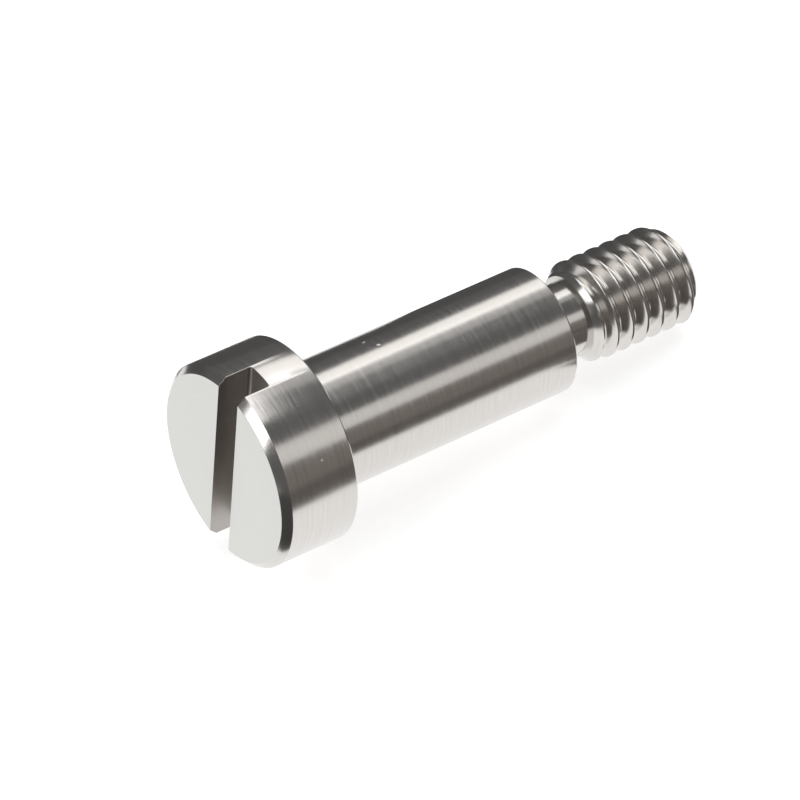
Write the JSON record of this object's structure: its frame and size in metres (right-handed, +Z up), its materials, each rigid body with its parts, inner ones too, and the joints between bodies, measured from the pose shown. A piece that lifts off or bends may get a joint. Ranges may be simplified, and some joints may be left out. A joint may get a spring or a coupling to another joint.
{
  "type": "shoulder screw",
  "caption": "Slotted shoulder screw turned in one piece: cylindrical head, smooth ground shoulder, undercut neck and a shorter threaded end.",
  "frame": {"origin": "middle of the bounding box at its bottom, on the surface that the screw lies on", "axes": "+Z is up. The screw lies with its slotted head at -X and its thread at +X, its axis in the XZ plane, sloping down 7.0 degrees towards the thread. The slot stands nearly upright."},
  "size_m": [0.021, 0.008, 0.0083],
  "materials": {
    "stainless_steel": "fine turned stainless steel, semi-bright, with tool marks round the axis and a plainer machined face"
  },
  "bodies": {
    "root": {"shoulder_screw": "stainless_steel"}
  },
  "joints": []
}
